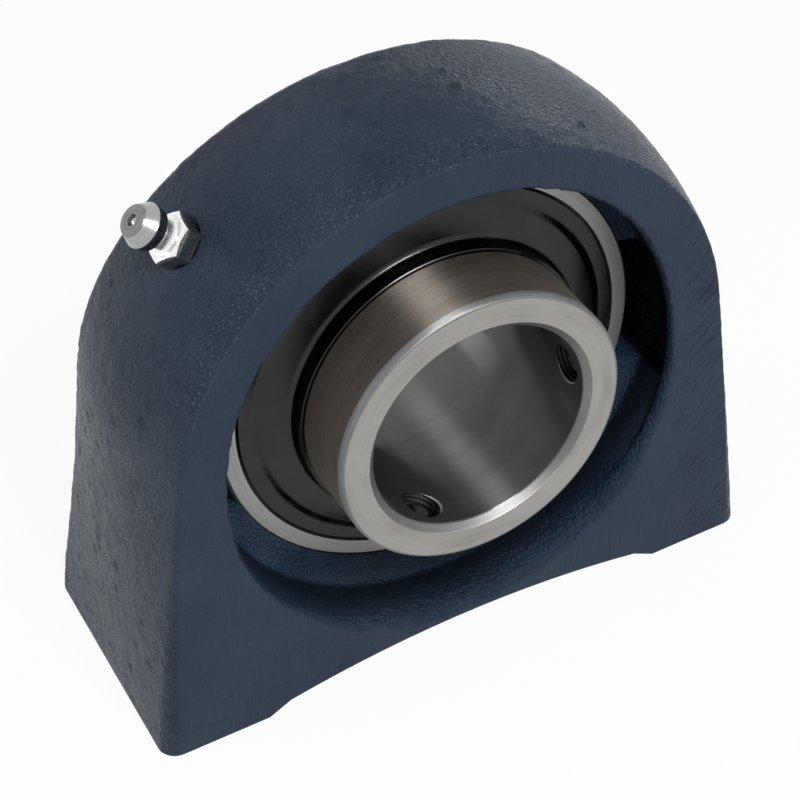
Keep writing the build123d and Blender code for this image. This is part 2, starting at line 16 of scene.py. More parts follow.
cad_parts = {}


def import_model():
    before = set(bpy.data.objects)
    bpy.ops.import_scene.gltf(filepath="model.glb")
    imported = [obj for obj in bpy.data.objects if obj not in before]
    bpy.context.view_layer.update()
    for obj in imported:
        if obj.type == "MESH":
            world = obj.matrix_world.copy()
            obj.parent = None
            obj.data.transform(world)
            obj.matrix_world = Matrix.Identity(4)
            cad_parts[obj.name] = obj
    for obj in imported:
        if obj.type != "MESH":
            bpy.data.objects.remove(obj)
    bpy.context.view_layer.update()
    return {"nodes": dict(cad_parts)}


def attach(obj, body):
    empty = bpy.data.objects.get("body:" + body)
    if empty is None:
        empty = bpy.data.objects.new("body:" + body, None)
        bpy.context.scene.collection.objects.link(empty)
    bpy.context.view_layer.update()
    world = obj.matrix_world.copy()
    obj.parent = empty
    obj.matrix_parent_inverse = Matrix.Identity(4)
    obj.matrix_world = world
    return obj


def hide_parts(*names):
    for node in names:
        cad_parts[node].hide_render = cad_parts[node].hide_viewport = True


MM = 0.001
ARCH_DROP = 1.8
DISPLAY_TOP = 255
DISPLAY_TOE = 10
TOE_SLOPE = 12.92
CURVE_OFFSET = 0.055
CURVE_POWER = 2.4
LOG = logging.getLogger("pillow_block")
Colour = tuple[float, float, float, float]
Span = tuple[float, float]
Socket = bpy.types.NodeSocket
Value = float | Socket
Tone = Colour | Socket


def linear(display: int) -> float:
    """The linear share of one display value.

    Args:
        display: the display value, from 0 to 255.

    Returns:
        The share that a shader socket takes.
    """
    share = display / DISPLAY_TOP
    curved = ((share + CURVE_OFFSET) / (1 + CURVE_OFFSET)) ** CURVE_POWER
    return curved if display > DISPLAY_TOE else share / TOE_SLOPE


def paint(red: int, green: int, blue: int) -> Colour:
    """A linear colour from three display values."""
    return (linear(red), linear(green), linear(blue), 1.0)


def grey(level: int) -> Colour:
    """A neutral linear colour from one display value."""
    return paint(level, level, level)


def dim(tone: Colour, share: float) -> Colour:
    """A share of a colour."""
    return (tone[0] * share, tone[1] * share, tone[2] * share, 1.0)


def direction(azimuth: float, elevation: float) -> Vector:
    """The way from the object to something round it.

    Args:
        azimuth: degrees round the object, 0 at the front and 90 at the right.
        elevation: degrees above the shaft.

    Returns:
        A vector of length 1.
    """
    az, el = math.radians(azimuth), math.radians(elevation)
    return Vector((math.sin(az) * math.cos(el), -math.cos(az) * math.cos(el), math.sin(el)))


@dataclass(frozen=True)
class LeaningAxis:
    """An axis that leans across the shaft: degrees from +X towards +Z, and where it crosses the middle."""

    angle: float
    y_place: float
    drop: float = ARCH_DROP

    def way(self) -> tuple[float, float]:
        """Its direction in X and in Z."""
        return math.cos(math.radians(self.angle)), math.sin(math.radians(self.angle))


NIPPLE_AXIS = LeaningAxis(angle=135.3, y_place=-3.1)


# ---------------------------------------------------------------- node graphs

class Op(Enum):
    """What a Math node works out."""

    ADD = "ADD"
    SUBTRACT = "SUBTRACT"
    MULTIPLY = "MULTIPLY"
    MULTIPLY_ADD = "MULTIPLY_ADD"
    MAXIMUM = "MAXIMUM"
    SQUARE_ROOT = "SQRT"
    ANGLE = "ARCTAN2"


@dataclass(frozen=True)
class Grain:
    """A noise: its waves for each unit, its finer layers and how strong they are."""

    scale: float
    detail: float = 2.0
    roughness: float = 0.5


@dataclass(frozen=True)
class Lay:
    """How streaks lie in planes of constant Y: waves a millimetre across and along them, and degrees of lean
    from +Z towards +X."""

    across: float
    along: float
    lean: float


class Writer:
    """A writer of the nodes of one material or of the surround."""

    def __init__(self, owner: bpy.types.Material | bpy.types.World) -> None:
        """Starts with no nodes.

        Args:
            owner: the material or world that the nodes belong to.
        """
        owner.use_nodes = True
        self.tree = owner.node_tree
        self.tree.nodes.clear()

    def node(self, kind: str, **settings: object) -> bpy.types.Node:
        """Adds a node.

        Args:
            kind: its type.
            settings: its properties.

        Returns:
            The node.
        """
        made = self.tree.nodes.new(kind)
        for key, value in settings.items():
            setattr(made, key, value)
        return made

    def feed(self, socket: Socket, value: object) -> None:
        """Links a socket to an input, or writes a constant into it.

        Args:
            socket: the socket.
            value: an output of another node, or the constant.
        """
        if isinstance(value, bpy.types.NodeSocket):
            self.tree.links.new(value, socket)
        else:
            socket.default_value = value

    def math(self, operation: Op, *values: Value) -> Socket:
        """The result of one Math node.

        Args:
            operation: what it works out.
            values: its one, two or three inputs.

        Returns:
            The result.
        """
        made = self.node("ShaderNodeMath", operation=operation.value)
        for socket, value in zip(made.inputs, values):
            self.feed(socket, value)
        return made.outputs[0]

    def product(self, first: Value, second: Value, *others: Value) -> Socket:
        """The product of some numbers or masks.

        Args:
            first: the first of them.
            second: the second of them.
            others: the rest.

        Returns:
            The product.
        """
        made = self.math(Op.MULTIPLY, first, second)
        for other in others:
            made = self.math(Op.MULTIPLY, made, other)
        return made


class Graph(Writer):
    """A writer of the shader nodes of one material."""

    def __init__(self, name: str) -> None:
        """Starts a material with one Principled shader.

        Args:
            name: the material's name.
        """
        self.material = bpy.data.materials.new(name)
        super().__init__(self.material)
        self.shader = self.node("ShaderNodeBsdfPrincipled")
        self.feed(self.node("ShaderNodeOutputMaterial").inputs["Surface"], self.shader.outputs[0])
        scaled = self.node("ShaderNodeVectorMath", operation="SCALE")
        self.feed(scaled.inputs[0], self.node("ShaderNodeTexCoord").outputs["Object"])
        self.feed(scaled.inputs["Scale"], 1 / MM)
        self.place = scaled.outputs[0]

    def axes(self) -> tuple[Socket, ...]:
        """The object coordinates, which stay with the piece as it moves.

        Returns:
            Its three numbers, in millimetres.
        """
        split = self.node("ShaderNodeSeparateXYZ")
        self.feed(split.inputs[0], self.place)
        return tuple(split.outputs)

    def vector(self, x: Value, y: Value, z: Value) -> Socket:
        """A vector.

        Args:
            x: its first number.
            y: its second number.
            z: its third number.

        Returns:
            The vector.
        """
        made = self.node("ShaderNodeCombineXYZ")
        for socket, value in zip(made.inputs, (x, y, z)):
            self.feed(socket, value)
        return made.outputs[0]

    def length(self, first: Socket, second: Socket) -> Socket:
        """The length of a vector with two parts, at right angles to each other.

        Args:
            first: one part.
            second: the other part.

        Returns:
            The length.
        """
        square = self.math(Op.MULTIPLY_ADD, first, first, self.math(Op.MULTIPLY, second, second))
        return self.math(Op.SQUARE_ROOT, square)

    def lathe(self) -> tuple[Socket, Socket, Socket]:
        """Radius from the shaft axis, place along it, and angle round it in radians."""
        x, y, z = self.axes()
        return self.length(x, z), y, self.math(Op.ANGLE, z, x)

    def noise(self, grain: Grain, vector: Socket | None = None) -> Socket:
        """Soft noise from 0 to 1.

        Args:
            grain: the kind of noise.
            vector: where it is read, or None for the object coordinates.

        Returns:
            The noise.
        """
        made = self.node("ShaderNodeTexNoise")
        self.feed(made.inputs["Vector"], self.place if vector is None else vector)
        self.feed(made.inputs["Scale"], grain.scale)
        self.feed(made.inputs["Detail"], grain.detail)
        self.feed(made.inputs["Roughness"], grain.roughness)
        return made.outputs["Fac"]

    def streaks(self, lay: Lay, grain: Grain) -> Socket:
        """Noise that is drawn out in one direction.

        Args:
            lay: how the streaks lie.
            grain: the kind of noise.

        Returns:
            The noise.
        """
        made = self.node("ShaderNodeMapping", vector_type="TEXTURE")
        self.feed(made.inputs["Rotation"], (0, math.radians(lay.lean), 0))
        self.feed(made.inputs["Scale"], (1 / lay.across, 1.0, 1 / lay.along))
        self.feed(made.inputs["Vector"], self.place)
        return self.noise(grain, made.outputs[0])

    def cells(self, scale: float) -> Socket:
        """Distance to the nearest of some scattered points.

        Args:
            scale: points for each millimetre.

        Returns:
            The distance.
        """
        made = self.node("ShaderNodeTexVoronoi")
        self.feed(made.inputs["Vector"], self.place)
        self.feed(made.inputs["Scale"], scale)
        return made.outputs["Distance"]

    def ramp(self, value: Value, span: Span, low: float = 0.0, high: float = 1.0) -> Socket:
        """A smooth step.

        Args:
            value: the number that it follows.
            span: where it starts and ends.
            low: the result before the start.
            high: the result past the end.

        Returns:
            The step.
        """
        made = self.node("ShaderNodeMapRange", interpolation_type="SMOOTHSTEP")
        for socket, number in zip(made.inputs, (value, *span, low, high)):
            self.feed(socket, number)
        return made.outputs[0]

    def mix(self, factor: Value, low: Tone, high: Tone) -> Socket:
        """A colour between two colours.

        Args:
            factor: the share of the second.
            low: the first colour.
            high: the second colour.

        Returns:
            The colour.
        """
        made = self.node("ShaderNodeMix", data_type="RGBA")
        self.feed(made.inputs["Factor"], factor)
        colours = [socket for socket in made.inputs if socket.type == "RGBA"]
        for socket, colour in zip(colours, (low, high)):
            self.feed(socket, colour)
        return next(socket for socket in made.outputs if socket.type == "RGBA")

    def blend(self, factor: Value, low: Value, high: Value) -> Socket:
        """A number between two numbers.

        Args:
            factor: the share of the second.
            low: the first number.
            high: the second number.

        Returns:
            The number.
        """
        made = self.node("ShaderNodeMix", data_type="FLOAT")
        numbers = [socket for socket in made.inputs if socket.type == "VALUE"]
        for socket, value in zip(numbers, (factor, low, high)):
            self.feed(socket, value)
        return made.outputs[0]

    def bump(self, height: Socket, distance: float, strength: Value = 1.0,
             below: Socket | None = None) -> Socket:
        """A normal from a height.

        Args:
            height: the height, from 0 to 1.
            distance: millimetres for a height of 1.
            strength: share of it that shows.
            below: a normal that this one lies on.

        Returns:
            The normal.
        """
        made = self.node("ShaderNodeBump")
        self.feed(made.inputs["Distance"], distance * MM)
        self.feed(made.inputs["Strength"], strength)
        self.feed(made.inputs["Height"], height)
        if below is not None:
            self.feed(made.inputs["Normal"], below)
        return made.outputs[0]

    def finish(self, colour: Tone, roughness: Value, metallic: float, normal: Socket) -> bpy.types.Material:
        """Feeds the shader.

        Args:
            colour: its base colour.
            roughness: its roughness.
            metallic: 1 for bare metal and 0 for anything else.
            normal: its normal.

        Returns:
            The material.
        """
        inputs = {"Base Color": colour, "Roughness": roughness, "Metallic": metallic, "Normal": normal}
        for name, value in inputs.items():
            self.feed(self.shader.inputs[name], value)
        return self.material


# ---------------------------------------------------------------- finishes

@dataclass(frozen=True)
class PaintedIron:
    """Dark blue paint over grey cast iron, on the rough casting and on the machined front."""

    name: str = "painted_iron"
    deep: Colour = paint(28, 44, 64)
    light: Colour = paint(42, 57, 75)
    machined: Colour = paint(54, 64, 78)
    # a dark tone for the front's scratches, and for the painted shade in the mouth and its slots
    scratch_and_painted_shade: Colour = paint(10, 14, 21)
    # a pale tone for painted glints along the front edge of the arch
    glint_tone: Colour = paint(126, 138, 150)
    # the share that each layer of colour takes over those before it
    machined_share: float = 0.45
    painted_shade_share: float = 0.85
    groove_share: float = 0.4
    glint_share: float = 0.5
    light_share: float = 0.35
    # the noises, and the stretch of each that makes a step
    cloud: Grain = Grain(scale=0.09, detail=3.0)
    cloud_span: Span = (0.3, 0.7)
    grain: Grain = Grain(scale=1.7)
    grain_span: Span = (0.52, 0.75)
    speck: Grain = Grain(scale=4.5)
    pit_scale: float = 0.42
    pit_span: Span = (0.05, 0.2)
    glint: Grain = Grain(scale=2.6, detail=3.0, roughness=0.75)
    glint_span: Span = (0.57, 0.66)
    swipe: Grain = Grain(scale=1.0, detail=3.0, roughness=0.6)
    swipe_lay: Lay = Lay(across=2.6, along=0.12, lean=1.5)
    scratch: Grain = Grain(scale=1.0)
    scratch_lay: Lay = Lay(across=1.7, along=0.16, lean=47.5)
    scratch_span: Span = (0.44, 0.36)
    scratch_x: Span = (34.0, 42.0)
    scratch_depth: float = 0.5
    # where on the casting each layer starts and is whole
    front_y: Span = (-19.75, -19.87)
    arch_drop: float = ARCH_DROP
    # where the painted glints lie along the arch's front edge
    arch_r: Span = (44.6, 44.9)
    arch_z: Span = (4.0, 20.0)
    arch_y: Span = (-11.0, -19.4)
    arch_back: float = 0.2
    # where the slots beside the mouth take painted shade
    slot_r: Span = (38.65, 38.85)
    slot_end_r: Span = (40.1, 40.0)
    slot_front_y: Span = (-17.7, -17.4)
    slot_back_y: Span = (0.2, 0.0)
    # where the mouth's inner wall takes painted shade
    recess_r: Span = (40.4, 40.2)
    recess_front_y: Span = (-19.7, -13.0)
    recess_back_y: Span = (-10.5, -12.0)
    # how deep and how rough the paint is
    cast_grain: float = 0.3
    cast_bump: float = 1.0
    recess_bump: float = 0.5
    machined_grain: float = 0.45
    machined_bump: float = 0.7
    skin_depth: float = 0.9
    pit_depth: float = 0.08
    pit_bump: float = 0.4
    even_span: Span = (0.3, 0.7)
    cast_roughness: Span = (0.2, 0.33)
    machined_roughness: Span = (0.44, 0.58)
    gloss: float = 0.12

    def build(self) -> bpy.types.Material:
        """Builds the material.

        Returns:
            The material.
        """
        g = Graph(self.name)
        x, y, z = g.axes()
        radius = g.length(x, g.math(Op.ADD, z, self.arch_drop))
        front = g.ramp(y, self.front_y)
        grain, speck = g.noise(self.grain), g.noise(self.speck)
        swipe = g.streaks(self.swipe_lay, self.swipe)
        scratch = g.ramp(g.streaks(self.scratch_lay, self.scratch), self.scratch_span)
        groove = g.product(scratch, g.ramp(x, self.scratch_x), front)
        # painted shade: the mouth's inner wall is darkened where the bearing shades it
        recess = g.product(g.ramp(radius, self.recess_r), g.ramp(y, self.recess_front_y),
                           g.ramp(y, self.recess_back_y))
        # painted shade: the slots' walls are painted near black
        slot = g.product(g.ramp(radius, self.slot_r), g.ramp(y, self.slot_front_y),
                         g.ramp(y, self.slot_back_y), g.ramp(radius, self.slot_end_r))
        layers = (
            (g.ramp(grain, self.grain_span, 0.0, self.light_share), self.light),
            (g.product(front, self.machined_share), self.machined),
            # painted highlights: pale glints along the front edge of the arch
            (g.product(self.painted_glints(g, radius, y, z), self.glint_share), self.glint_tone),
            (g.product(groove, self.groove_share), self.scratch_and_painted_shade),
            (g.product(recess, self.painted_shade_share), self.scratch_and_painted_shade),
            (g.product(slot, self.painted_shade_share), self.scratch_and_painted_shade),
        )
        colour = g.mix(g.ramp(g.noise(self.cloud), self.cloud_span), self.deep, self.light)
        for share, tone in layers:
            colour = g.mix(share, colour, tone)
        cast, machined = g.blend(self.cast_grain, grain, speck), g.blend(self.machined_grain, swipe, speck)
        height = g.math(Op.SUBTRACT, g.blend(front, cast, machined), g.product(groove, self.scratch_depth))
        strength = g.blend(front, g.blend(recess, self.cast_bump, self.recess_bump), self.machined_bump)
        normal = g.bump(height, self.skin_depth, strength)
        normal = g.bump(g.ramp(g.cells(self.pit_scale), self.pit_span), self.pit_depth, self.pit_bump, normal)
        roughness = g.blend(front, g.ramp(speck, self.even_span, *self.cast_roughness),
                            g.ramp(swipe, self.even_span, *self.machined_roughness))
        g.feed(g.shader.inputs["Specular IOR Level"], self.gloss)
        return g.finish(colour, roughness, 0.0, normal)

    def painted_glints(self, g: Graph, radius: Socket, y: Socket, z: Socket) -> Socket:
        """Where pale flecks are painted as glints, most of all along the front edge of the arch.

        Args:
            g: the graph it is built in.
            radius: distance from the arch's axis.
            y: place along the shaft.
            z: height over the shaft.

        Returns:
            1 where a glint is painted.
        """
        outside = g.product(g.ramp(radius, self.arch_r), g.ramp(z, self.arch_z))
        edge = g.product(outside, g.ramp(y, self.arch_y, self.arch_back))
        return g.product(edge, g.ramp(g.noise(self.glint), self.glint_span))


@dataclass(frozen=True)
class Zone:
    """A part of a turned piece with its own tone, between two radii and two places along the axis."""

    radii: Span
    depths: Span
    tone: Colour
    roughness: float
    soft: float = 0.15

    def mask(self, g: Graph, radius: Socket, depth: Socket) -> Socket:
        """1 inside the zone, with soft edges.

        Args:
            g: the graph it is built in.
            radius: distance from the axis.
            depth: place along the axis.

        Returns:
            The mask.
        """
        ways = ((radius, self.radii), (depth, self.depths))
        rising = [g.ramp(value, (low - self.soft, low)) for value, (low, _) in ways]
        falling = [g.ramp(value, (high, high + self.soft), 1.0, 0.0) for value, (_, high) in ways]
        return g.product(*rising, *falling)


@dataclass(frozen=True)
class TurnedSteel:
    """Turned or ground steel, with fine lines round the shaft axis and a tone for each zone."""

    name: str
    tone: Colour
    roughness: float
    zones: tuple[Zone, ...] = ()
    line: Grain = Grain(scale=7.0, detail=3.0, roughness=0.65)
    line_lap: float = 0.6
    line_span: Span = (0.45, 0.75)
    line_depth: float = 0.006
    line_tone: float = 0.25
    line_middle: float = 0.5
    unevenness: float = 0.16
    broad: Grain = Grain(scale=1.3)
    broad_radius: float = 0.2
    broad_depth: float = 0.16
    broad_span: Span = (0.42, 0.75)
    stain: float = 0.25
    stain_tone: Colour = paint(70, 62, 54)
    brushed: float = 0.75
    brushed_turn: float = 0.25
    # a stretch of radius that is matt, such as an end face, and what is left of the lines there
    matt: Span | None = None
    matt_lines: float = 0.25
    matt_unevenness: float = 0.03
    matt_depth: float = 0.15
    matt_edges: tuple[Span, Span] = ((0.05, -0.1), (-0.1, 0.05))

    def build(self) -> bpy.types.Material:
        """Builds the material.

        Returns:
            The material.
        """
        g = Graph(self.name)
        radius, depth, angle = g.lathe()
        colour: Tone = self.tone
        roughness: Value = self.roughness
        for zone in self.zones:
            mask = zone.mask(g, radius, depth)
            colour = g.mix(mask, colour, zone.tone)
            roughness = g.blend(mask, roughness, zone.roughness)
        fine = g.noise(self.line, g.vector(radius, depth, g.product(angle, self.line_lap)))
        wide = g.vector(g.product(radius, self.broad_radius), g.product(depth, self.broad_depth), angle)
        stained = g.ramp(g.noise(self.broad, wide), self.broad_span, 0.0, self.stain)
        colour = g.mix(stained, colour, self.stain_tone)
        lines, unevenness, strength = self.spread(g, radius)
        lined = g.product(g.ramp(fine, self.line_span, 0.0, self.line_tone), lines)
        colour = g.mix(lined, colour, self.stain_tone)
        swing = g.math(Op.SUBTRACT, fine, self.line_middle)
        roughness = g.math(Op.MULTIPLY_ADD, swing, unevenness, roughness)
        grooves = g.node("ShaderNodeTangent", direction_type="RADIAL", axis="Y")
        g.feed(g.shader.inputs["Tangent"], grooves.outputs[0])
        g.feed(g.shader.inputs["Anisotropic Rotation"], self.brushed_turn)
        return g.finish(colour, roughness, 1.0, g.bump(fine, self.line_depth, strength))

    def spread(self, g: Graph, radius: Socket) -> tuple[Value, ...]:
        """Brushes the piece, and keeps the lines off a matt face.

        Args:
            g: the graph it is built in.
            radius: distance from the axis.

        Returns:
            How dark, how uneven and how deep the lines are.
        """
        if self.matt is None:
            g.feed(g.shader.inputs["Anisotropic"], self.brushed)
            return 1.0, self.unevenness, 1.0
        inner, outer = (g.ramp(radius, (place + start, place + end))
                        for place, (start, end) in zip(self.matt, self.matt_edges))
        along = g.math(Op.MAXIMUM, outer, inner)
        g.feed(g.shader.inputs["Anisotropic"], g.product(along, self.brushed))
        pairs = ((self.matt_lines, 1.0), (self.matt_unevenness, self.unevenness), (self.matt_depth, 1.0))
        return tuple(g.blend(outer, matt, lined) for matt, lined in pairs)


@dataclass(frozen=True)
class Blackened:
    """Thin dark sheet steel with an even, faintly mottled gloss."""

    name: str
    tone: Colour = grey(53)
    worn: Colour = grey(60)
    mottle: Grain = Grain(scale=0.2, detail=3.0)
    tone_span: Span = (0.4, 0.8)
    roughness_span: Span = (0.3, 0.7)
    roughness: Span = (0.2, 0.34)
    grain: Grain = Grain(scale=3.5)
    grain_depth: float = 0.004

    def build(self) -> bpy.types.Material:
        """Builds the material.

        Returns:
            The material.
        """
        g = Graph(self.name)
        mottle = g.noise(self.mottle)
        colour = g.mix(g.ramp(mottle, self.tone_span), self.tone, self.worn)
        roughness = g.ramp(mottle, self.roughness_span, *self.roughness)
        return g.finish(colour, roughness, 1.0, g.bump(g.noise(self.grain), self.grain_depth))


@dataclass(frozen=True)
class Moulded:
    """Moulded rubber or polymer, with a fine even grain."""

    name: str
    tone: Colour
    roughness: Span
    dark_share: float = 0.6
    cloud: Grain = Grain(scale=0.3, detail=3.0)
    span: Span = (0.3, 0.7)
    grain: Grain = Grain(scale=5.0)
    grain_depth: float = 0.02

    def build(self) -> bpy.types.Material:
        """Builds the material.

        Returns:
            The material.
        """
        g = Graph(self.name)
        grain = g.noise(self.grain)
        colour = g.mix(g.ramp(g.noise(self.cloud), self.span), dim(self.tone, self.dark_share), self.tone)
        roughness = g.ramp(grain, self.span, *self.roughness)
        return g.finish(colour, roughness, 0.0, g.bump(grain, self.grain_depth))


@dataclass(frozen=True)
class Band:
    """A tone of painted light and shade that starts at a height over the arch's axis."""

    height: float
    tone: Colour


@dataclass(frozen=True)
class Plated:
    """Bright zinc plating over machined steel, with darker drawn lines across it and painted light and shade
    on each step.
    """

    name: str
    flats: Colour = grey(150)
    # painted light and shade: the brightest band is a painted highlight and the darkest is painted shade
    painted_light_bands: tuple[Band, ...] = (
        Band(50.55, grey(248)), Band(53.3, grey(120)), Band(55.2, grey(170)), Band(57.25, grey(136)))
    band_soft: float = 0.08
    dull: Colour = grey(84)
    cloud: Grain = Grain(scale=0.7, detail=3.0, roughness=0.6)
    cloud_span: Span = (0.5, 0.8)
    cloud_share: float = 0.4
    line: Grain = Grain(scale=1.0, detail=3.0, roughness=0.7)
    line_scale: float = 6.0
    line_span: Span = (0.5, 0.72)
    line_share: float = 0.6
    line_depth: float = 0.012
    roughness_span: Span = (0.3, 0.7)
    roughness: Span = (0.15, 0.3)

    def build(self, axis: LeaningAxis) -> bpy.types.Material:
        """Builds the material round an axis.

        Args:
            axis: the axis.

        Returns:
            The material.
        """
        g = Graph(self.name)
        x, y, z = g.axes()
        along_x, along_z = axis.way()
        lifted = g.math(Op.ADD, z, axis.drop)
        out = g.math(Op.MULTIPLY_ADD, x, along_x, g.product(lifted, along_z))
        side = g.math(Op.MULTIPLY_ADD, x, -along_z, g.product(lifted, along_x))
        radius = g.length(side, g.math(Op.SUBTRACT, y, axis.y_place))
        spot = g.vector(g.product(radius, self.line_scale), g.product(out, self.line_scale), 0.0)
        lines, cloud = g.noise(self.line, spot), g.noise(self.cloud)
        colour: Tone = self.flats
        for band in self.painted_light_bands:
            edge = (band.height - self.band_soft, band.height + self.band_soft)
            colour = g.mix(g.ramp(out, edge), colour, band.tone)
        colour = g.mix(g.ramp(cloud, self.cloud_span, 0.0, self.cloud_share), colour, self.dull)
        colour = g.mix(g.ramp(lines, self.line_span, 0.0, self.line_share), colour, self.dull)
        roughness = g.ramp(cloud, self.roughness_span, *self.roughness)
        return g.finish(colour, roughness, 1.0, g.bump(lines, self.line_depth))


@dataclass(frozen=True)
class Polished:
    """Smooth bright steel, such as balls and spring wire."""

    name: str
    tone: Colour = grey(190)
    roughness: Span = (0.12, 0.2)
    dark_share: float = 0.75
    cloud: Grain = Grain(scale=0.6, detail=3.0)
    tone_span: Span = (0.35, 0.65)
    roughness_span: Span = (0.3, 0.7)
    grain: Grain = Grain(scale=6.0)
    grain_depth: float = 0.002

    def build(self) -> bpy.types.Material:
        """Builds the material.

        Returns:
            The material.
        """
        g = Graph(self.name)
        cloud = g.noise(self.cloud)
        colour = g.mix(g.ramp(cloud, self.tone_span), self.tone, dim(self.tone, self.dark_share))
        roughness = g.ramp(cloud, self.roughness_span, *self.roughness)
        return g.finish(colour, roughness, 1.0, g.bump(g.noise(self.grain), self.grain_depth))


Finish = TurnedSteel | Blackened | Moulded | Polished


# ---------------------------------------------------------------- meshes

def read_vectors(items: bpy.types.bpy_prop_collection, name: str) -> np.ndarray:
    """Reads one vector of each item of a mesh.

    Args:
        items: its vertices or its vertex normals.
        name: the vector's name.

    Returns:
        A row for each item.
    """
    flat = np.zeros(len(items) * 3, np.float32)
    items.foreach_get(name, flat)
    return flat.reshape(-1, 3).astype(float)


def move_vertices(mesh: bpy.types.Mesh, points: np.ndarray) -> None:
    """Moves the vertices of a mesh.

    Args:
        mesh: the mesh.
        points: where they go, in millimetres.
    """
    mesh.vertices.foreach_set("co", (points * MM).astype(np.float32).ravel())
    mesh.update()


def step(value: np.ndarray, span: Span) -> np.ndarray:
    """A smooth step from 0 to 1.

    Args:
        value: the numbers that it follows.
        span: where it starts and ends.

    Returns:
        The step for each number.
    """
    start, end = span
    part = np.clip((value - start) / (end - start), 0.0, 1.0)
    return part * part * (3 - 2 * part)


@dataclass(frozen=True)
class Layer:
    """A layer of smooth lattice noise: the width of its cells, its seed, and its greatest height."""

    cell: float
    seed: int
    height: float = 1.0
    primes: tuple[int, int, int] = (73856093, 19349663, 83492791)
    seed_step: int = 26544357
    stir: int = 1274126177
    stir_bits: int = 13
    keep: int = 0x7FFFFFFF
    drop_bits: int = 7
    top: int = 0xFFFF

    def read(self, points: np.ndarray) -> np.ndarray:
        """Reads the noise.

        Args:
            points: where it is read, in millimetres.

        Returns:
            The height at each point.
        """
        scaled = points / self.cell
        base = np.floor(scaled).astype(np.int64)
        part = scaled - base
        fade = part ** 3 * (part * (part * 6 - 15) + 10)
        total = np.zeros(len(points))
        for corner in np.ndindex(2, 2, 2):
            offset = np.array(corner)
            mixed = np.bitwise_xor.reduce((base + offset) * self.primes, axis=1) ^ self.seed * self.seed_step
            mixed = ((mixed ^ (mixed >> self.stir_bits)) * self.stir) & self.keep
            value = ((mixed >> self.drop_bits) & self.top) / (self.top / 2) - 1.0
            total += value * np.prod(np.where(offset == 1, fade, 1.0 - fade), axis=1)
        return total * self.height


def relief(layers: tuple[Layer, ...], points: np.ndarray) -> np.ndarray:
    """The sum of some layers of noise.

    Args:
        layers: the layers.
        points: where they are read, in millimetres.

    Returns:
        The height at each point.
    """
    return np.sum([layer.read(points) for layer in layers], axis=0)


def wear(piece: bpy.types.Object, material: bpy.types.Material) -> bpy.types.Object:
    """Puts one material in every slot of a piece.

    Args:
        piece: the piece.
        material: its material.

    Returns:
        The piece.
    """
    if not piece.material_slots:
        piece.data.materials.append(material)
    for slot in piece.material_slots:
        slot.link = "OBJECT"
        slot.material = material
    return piece


# ---------------------------------------------------------------- sub-assemblies

@dataclass(frozen=True)
class Flat:
    """A stretch of the mouth that is drawn in: its middle and spread in degrees, and how far it goes in."""

    middle: float
    spread: float
    inward: float


